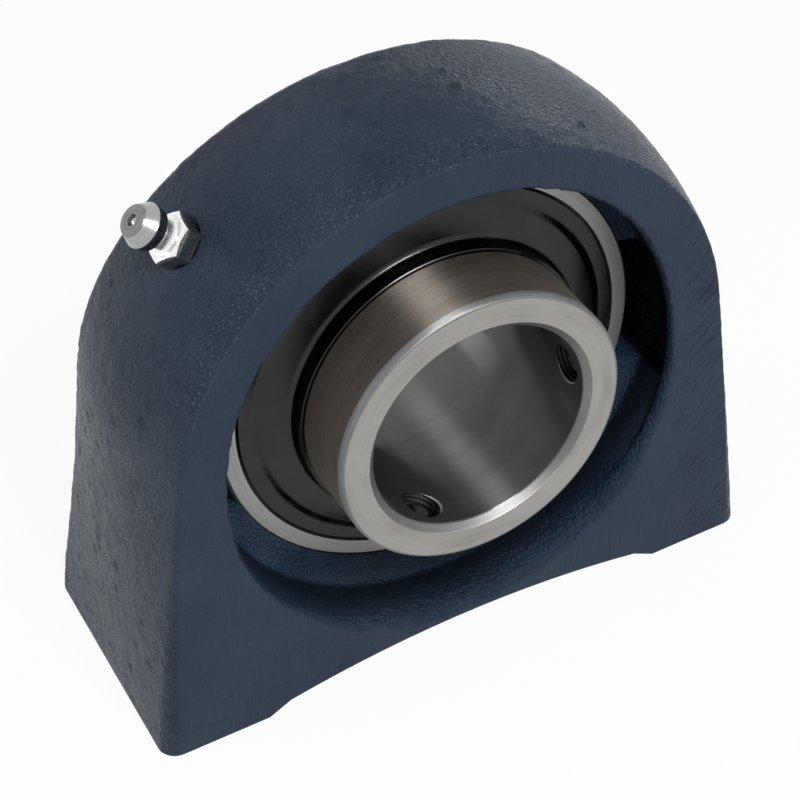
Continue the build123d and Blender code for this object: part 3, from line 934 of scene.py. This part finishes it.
@dataclass
class Casting:
    """The housing's casting, with its soft ragged mouth and its grain."""

    node: bpy.types.Object
    finish: PaintedIron = PaintedIron()
    # the even quads
    weld_gap: float = 0.001
    remesh_depth: int = 8
    remesh_scale: float = 0.9
    sharp_angle: float = 38.0
    arch_drop: float = ARCH_DROP
    # the mouth: the flats that draw it in, its jagged edge, and its worn round
    front_y: float = -19.9
    opening_r: float = 38.6
    least_r: float = 1.0
    flats: tuple[Flat, ...] = (
        Flat(middle=8.0, spread=36.0, inward=2.1), Flat(middle=178.0, spread=22.0, inward=0.7))
    flat_fade: Span = (4.5, 0.3)
    flat_lip: Span = (2.8, 1.6)
    jags: tuple[Layer, ...] = (
        Layer(cell=1.7, seed=13, height=0.12), Layer(cell=0.85, seed=14, height=0.14))
    jag_fade: Span = (2.0, 0.4)
    jag_lip: Span = (1.6, 0.2)
    mouth_r: float = 0.8
    worn_mouth_r: float = 2.4
    worn_angle: float = -75.0
    worn_span: Span = (0.3, 0.9)
    worn_least: float = 0.01
    worn_rags: tuple[Layer, ...] = (
        Layer(cell=2.6, seed=11, height=0.5), Layer(cell=1.1, seed=12, height=0.25))
    wall_slack: float = 0.5
    front_slack: float = 0.15
    front_give: float = 0.1
    corner: float = 1.0
    # where the cast skin starts beside what is machined
    front_rise: Span = (-19.88, -19.4)
    base_rise: Span = (-47.55, -47.0)
    seat_r: float = 36.9
    seat_y: float = 12.3
    bolt_x: float = 41.3
    bolt_top: float = -27.0
    bolt_rise: Span = (6.6, 7.4)
    nipple_axis: LeaningAxis = NIPPLE_AXIS
    nipple_rise: Span = (4.4, 5.2)
    # the skin's swell, its grain and its pocks
    skin: tuple[Layer, ...] = (
        Layer(cell=9.0, seed=1, height=0.05), Layer(cell=3.6, seed=2, height=0.03),
        Layer(cell=1.5, seed=3, height=0.05), Layer(cell=0.9, seed=4, height=0.04))
    pock: Layer = Layer(cell=2.2, seed=5)
    pock_span: Span = (0.7, 0.9)
    pock_depth: float = 0.12

    def build(self) -> list[bpy.types.Object]:
        """Builds the casting from even faces, gives it its grain and paints it.

        Returns:
            The casting.
        """
        mesh = self.even_mesh()
        points = self.shape_mouth(read_vectors(mesh.vertices, "co") / MM)
        move_vertices(mesh, points)
        outward = read_vectors(mesh.vertex_normals, "vector")
        move_vertices(mesh, points + outward * self.grain(points)[:, None])
        mesh.shade_smooth()
        mesh.set_sharp_from_angle(angle=math.radians(self.sharp_angle))
        casting = bpy.data.objects.new("casting", mesh)
        bpy.context.scene.collection.objects.link(casting)
        wear(casting, self.finish.build())
        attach(casting, "housing")
        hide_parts("housing")
        return [casting]

    def even_mesh(self) -> bpy.types.Mesh:
        """Lays even quads over the solid's surface, and keeps its edges.

        Returns:
            The mesh.
        """
        twin = bpy.data.objects.new("casting_source", self.node.data.copy())
        bpy.context.scene.collection.objects.link(twin)
        weld = twin.modifiers.new("weld", "WELD")
        weld.merge_threshold = self.weld_gap * MM
        even = twin.modifiers.new("even", "REMESH")
        even.mode = "SHARP"
        even.octree_depth = self.remesh_depth
        even.scale = self.remesh_scale
        even.use_remove_disconnected = False
        mesh = bpy.data.meshes.new_from_object(twin.evaluated_get(bpy.context.evaluated_depsgraph_get()))
        mesh.name = "casting"
        mesh.materials.clear()
        bpy.data.objects.remove(twin)
        return mesh

    def shape_mouth(self, points: np.ndarray) -> np.ndarray:
        """Draws the mouth of the front opening as cast: uneven, jagged, and worn round low on the right.

        Args:
            points: vertices in millimetres.

        Returns:
            The moved vertices.
        """
        lifted = points[:, 2] + self.arch_drop
        radius = np.hypot(points[:, 0], lifted)
        angle = np.degrees(np.arctan2(lifted, points[:, 0]))
        aside = np.abs(radius - self.opening_r)
        deep = points[:, 1] - self.front_y
        across = points * (1, 0, 1)
        inward = np.zeros(len(points))
        for flat in self.flats:
            apart = (angle - flat.middle + 180.0) % 360.0 - 180.0
            inward += flat.inward * np.exp(-(apart / flat.spread) ** 2)
        drawn_in = inward * step(aside, self.flat_fade) * step(deep, self.flat_lip)
        jag = relief(self.jags, across) * step(deep, self.jag_lip) * step(aside, self.jag_fade)
        drawn = radius - drawn_in + jag
        edge = self.opening_r - inward
        worn = step(np.cos(np.radians(angle - self.worn_angle)), self.worn_span)
        round_r = self.mouth_r + worn * (self.worn_mouth_r - self.mouth_r + relief(self.worn_rags, across))
        along = drawn - edge
        near = (worn > self.worn_least) & (along > -self.wall_slack) & (deep > -self.front_give)
        near &= (along < round_r) & (deep < round_r)
        inside_corner = np.maximum(along, deep) < self.corner
        near &= (along < self.wall_slack) | (deep < self.front_slack) | inside_corner
        turn = (1 + np.clip((along - deep) / round_r, -1.0, 1.0)) * math.pi / 4
        grow = np.where(near, edge + round_r * (1 - np.cos(turn)), drawn) / np.maximum(radius, self.least_r)
        depth = np.where(near, self.front_y + round_r * (1 - np.sin(turn)), points[:, 1])
        return np.column_stack((points[:, 0] * grow, depth, lifted * grow - self.arch_drop))

    def cast_skin(self, points: np.ndarray) -> np.ndarray:
        """Tells the rough casting from what is machined.

        Args:
            points: vertices in millimetres.

        Returns:
            1 for each vertex on the rough casting and 0 on what is machined.
        """
        x, y, z = points.T
        skin = step(y, self.front_rise) * step(z, self.base_rise)
        skin[(np.hypot(x, z) < self.seat_r) & (np.abs(y) < self.seat_y)] = 0.0
        skin *= np.where(z < self.bolt_top, step(np.hypot(np.abs(x) - self.bolt_x, y), self.bolt_rise), 1.0)
        along_x, along_z = self.nipple_axis.way()
        axis = np.array([along_x, 0, along_z])
        off = points - (0, self.nipple_axis.y_place, -self.nipple_axis.drop)
        out = off @ axis
        aside = np.linalg.norm(off - out[:, None] * axis, axis=1)
        return skin * np.where(out > 0, step(aside, self.nipple_rise), 1.0)

    def grain(self, points: np.ndarray) -> np.ndarray:
        """How far the casting's skin stands out from its solid.

        Args:
            points: vertices in millimetres.

        Returns:
            The offset of each vertex, in millimetres.
        """
        pocks = step(self.pock.read(points), self.pock_span) * self.pock_depth
        return self.cast_skin(points) * (relief(self.skin, points) - pocks)


@dataclass
class GreaseNipple:
    """The grease nipple in the arch, whose pieces keep their CAD shapes."""

    nodes: dict[str, bpy.types.Object]
    axis: LeaningAxis = NIPPLE_AXIS
    zinc: Plated = Plated("zinc_plate")
    check_ball: Polished = Polished("check_ball_steel", grey(200))
    wire: Polished = Polished("spring_wire", grey(150), (0.25, 0.33))

    def build(self) -> list[bpy.types.Object]:
        """Dresses the nipple.

        Returns:
            Its pieces.
        """
        return [
            wear(self.nodes["grease_nipple_body"], self.zinc.build(self.axis)),
            wear(self.nodes["nipple_check_ball"], self.check_ball.build()),
            wear(self.nodes["nipple_spring"], self.wire.build()),
        ]


@dataclass
class Bearing:
    """The insert bearing, whose pieces keep their CAD shapes."""

    nodes: dict[str, bpy.types.Object]
    balls: int = 9
    # limits of the inner ring's zones, just off its surfaces
    bore_r: float = 17.4
    bore_skin_r: float = 17.55
    chamfer_r: float = 18.62
    face_r: float = 22.5
    flank_r: float = 22.95
    outside_r: float = 23.3
    matt_r: Span = (17.7, 22.95)
    past_front_y: float = -26.0
    face_y: float = -25.3
    nose_y: float = -24.2
    past_back_y: float = 20.0
    tail_y: float = 15.9
    collar_r: Span = (17.8, 22.9)
    collar_y: Span = (-23.6, -16.0)
    race_r: Span = (22.0, 23.3)
    race_y: Span = (-9.0, 9.0)

    def zones(self) -> tuple[Zone, ...]:
        """The inner ring's zones, each over the ones before it.

        Returns:
            Its nose, its front face with both chamfers, the flat of that face, its bore, the screws' holes,
            its raceway and its back end.
        """
        nose = (self.past_front_y, self.nose_y)
        return (
            # painted light and shade: the nose's bright outer band is a painted highlight, and the darker
            # grey on the rest of the nose and on the chamfers is painted shade
            Zone((self.bore_r, self.outside_r), nose, grey(222), 0.26),
            Zone((self.bore_r, self.flank_r), nose, grey(126), 0.48),
            Zone((self.chamfer_r, self.face_r), (self.past_front_y, self.face_y), paint(162, 160, 156), 0.45),
            Zone((0.0, self.bore_skin_r), (self.past_front_y, self.past_back_y), grey(108), 0.32),
            Zone(self.collar_r, self.collar_y, grey(58), 0.5),
            Zone(self.race_r, self.race_y, grey(180), 0.15),
            Zone((self.bore_r, self.outside_r), (self.tail_y, self.past_back_y), grey(176), 0.34),
        )

    def finishes(self) -> tuple[tuple[Finish, tuple[str, ...]], ...]:
        """The finishes of the bearing.

        Returns:
            Each finish with the nodes that wear it.
        """
        ring = TurnedSteel("ground_ring", grey(160), 0.48, line_tone=0.3, stain=0.12, brushed=0.2)
        inner = TurnedSteel(
            "turned_inner_ring", paint(115, 109, 102), 0.45, self.zones(), line_depth=0.008, line_tone=0.7,
            stain_tone=paint(58, 54, 50), brushed=1.0, matt=self.matt_r)
        screws = TurnedSteel("screw_steel", grey(70), 0.35, stain_tone=paint(48, 40, 34))
        return (
            (ring, ("outer_ring",)),
            (inner, ("inner_ring",)),
            (Blackened("flinger_sheet"), ("front_flinger", "back_flinger")),
            (TurnedSteel("washer_sheet", grey(64), 0.4), ("front_seal_washer", "back_seal_washer")),
            (Moulded("seal_rubber", grey(34), (0.49, 0.61)), ("front_seal_lip", "back_seal_lip")),
            (Moulded("cage_polymer", paint(60, 56, 48), (0.39, 0.51)), ("cage",)),
            (Polished("ball_steel"), tuple(f"ball_{number}" for number in range(1, self.balls + 1))),
            (screws, ("grub_screw_1", "grub_screw_2")),
        )

    def build(self) -> list[bpy.types.Object]:
        """Dresses the bearing.

        Returns:
            Its pieces.
        """
        pieces = []
        for finish, names in self.finishes():
            material = finish.build()
            pieces += [wear(self.nodes[name], material) for name in names]
        return pieces


# ---------------------------------------------------------------- stage

@dataclass(frozen=True)
class Lamp:
    """A square soft light that faces the object."""

    name: str
    azimuth: float
    elevation: float
    distance: float
    size: float
    level: float

    def hang(self) -> None:
        """Hangs the lamp. Its level is the share of a colour that it lights on a face turned to it."""
        data = bpy.data.lights.new(self.name, "AREA")
        data.shape = "SQUARE"
        data.size = self.size * MM
        data.energy = self.level * (math.pi * self.distance * MM) ** 2
        lamp = bpy.data.objects.new(self.name, data)
        spot = direction(self.azimuth, self.elevation) * self.distance * MM
        lamp.matrix_world = Matrix.Translation(spot) @ spot.to_track_quat("Z", "Y").to_matrix().to_4x4()
        bpy.context.scene.collection.objects.link(lamp)


@dataclass
class Studio:
    """The camera, the pale floor and the soft lights."""

    azimuth: float = -29.14
    elevation: float = 38.97
    roll: float = -0.77
    distance: float = 321.45
    right: float = 10.53
    up: float = 0.75
    # in pixels of the frame
    focal: float = 2103.95
    centre_x: float = 470.0
    centre_y: float = 330.0
    frame: float = 800.0
    # in millimetres
    sensor: float = 36.0
    nearest: float = 10.0
    farthest: float = 20000.0
    floor_z: float = -47.6
    floor_half: float = 4000.0
    floor_tone: Colour = grey(248)
    floor_glow: float = 0.93
    sky: float = 0.18
    sky_tone: Colour = grey(252)
    lamps: tuple[Lamp, ...] = (
        Lamp("key", azimuth=3.0, elevation=46.0, distance=800.0, size=260.0, level=0.86),
        Lamp("rim", azimuth=133.0, elevation=3.5, distance=900.0, size=180.0, level=0.065),
        Lamp("side", azimuth=-112.0, elevation=10.0, distance=900.0, size=400.0, level=0.28),
    )

    def camera(self) -> None:
        """Sets up the camera."""
        az, roll = math.radians(self.azimuth), math.radians(self.roll)
        side = Vector((math.cos(az), math.sin(az), 0))
        back = direction(self.azimuth, self.elevation)
        top = back.cross(side)
        across = side * math.cos(roll) + top * math.sin(roll)
        upward = top * math.cos(roll) - side * math.sin(roll)
        data = bpy.data.cameras.new("camera")
        data.sensor_width = self.sensor
        data.lens = self.focal / self.frame * self.sensor
        data.shift_x = (self.frame / 2 - self.centre_x) / self.frame
        data.shift_y = (self.centre_y - self.frame / 2) / self.frame
        data.clip_start, data.clip_end = self.nearest * MM, self.farthest * MM
        camera = bpy.data.objects.new("camera", data)
        place = (back * self.distance + across * self.right + upward * self.up) * MM
        turn = Matrix((across, upward, back)).transposed()
        camera.matrix_world = Matrix.Translation(place) @ turn.to_4x4()
        bpy.context.scene.collection.objects.link(camera)
        bpy.context.scene.camera = camera

    def seen(self, writer: Writer) -> Socket:
        """Tells what is seen, straight or in gloss or glass, from what only lights.

        Args:
            writer: the writer of the nodes.

        Returns:
            1 for camera, glossy and transmission rays, and 0 for others.
        """
        path = writer.node("ShaderNodeLightPath").outputs
        glossy = writer.math(Op.MAXIMUM, path["Is Camera Ray"], path["Is Glossy Ray"])
        return writer.math(Op.MAXIMUM, glossy, path["Is Transmission Ray"])

    def floor(self) -> None:
        """Lays the floor, which glows towards the camera and keeps the shadow."""
        half, low = self.floor_half * MM, self.floor_z * MM
        corners = [(-half, -half, low), (half, -half, low), (half, half, low), (-half, half, low)]
        mesh = bpy.data.meshes.new("floor")
        mesh.from_pydata(corners, [], [(0, 1, 2, 3)])
        floor = bpy.data.objects.new("floor", mesh)
        bpy.context.scene.collection.objects.link(floor)
        material = bpy.data.materials.new("pale_floor")
        writer = Writer(material)
        matt = writer.node("ShaderNodeBsdfDiffuse")
        writer.feed(matt.inputs["Color"], self.floor_tone)
        glow = writer.node("ShaderNodeEmission")
        both = writer.node("ShaderNodeMixShader")
        share = writer.product(self.seen(writer), self.floor_glow)
        for socket, source in zip(both.inputs, (share, matt.outputs[0], glow.outputs[0])):
            writer.feed(socket, source)
        writer.feed(writer.node("ShaderNodeOutputMaterial").inputs["Surface"], both.outputs[0])
        mesh.materials.append(material)

    def world(self) -> None:
        """Sets a white surround that the eye and the metal see, and a softer light from it."""
        world = bpy.data.worlds.new("surround")
        bpy.context.scene.world = world
        writer = Writer(world)
        level = writer.node("ShaderNodeMapRange")
        writer.feed(level.inputs["Value"], self.seen(writer))
        writer.feed(level.inputs["To Min"], self.sky)
        back = writer.node("ShaderNodeBackground")
        writer.feed(back.inputs["Color"], self.sky_tone)
        writer.feed(back.inputs["Strength"], level.outputs[0])
        writer.feed(writer.node("ShaderNodeOutputWorld").inputs["Surface"], back.outputs[0])

    def build(self) -> None:
        """Builds the stage."""
        self.camera()
        self.floor()
        self.world()
        for lamp in self.lamps:
            lamp.hang()
        bpy.context.scene.view_settings.view_transform = "Standard"


def main() -> None:
    """Builds the stage and the sub-assemblies in order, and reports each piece."""
    logging.basicConfig(level=logging.INFO, format="%(name)s: %(message)s")
    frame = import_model()
    nodes = frame["nodes"]
    Studio().build()
    for assembly in (Casting(nodes["housing"]), GreaseNipple(nodes), Bearing(nodes)):
        for piece in assembly.build():
            finish = piece.material_slots[0].material.name
            LOG.info("%s: %d faces in %s", piece.name, len(piece.data.polygons), finish)


if __name__ == "__main__":
    main()
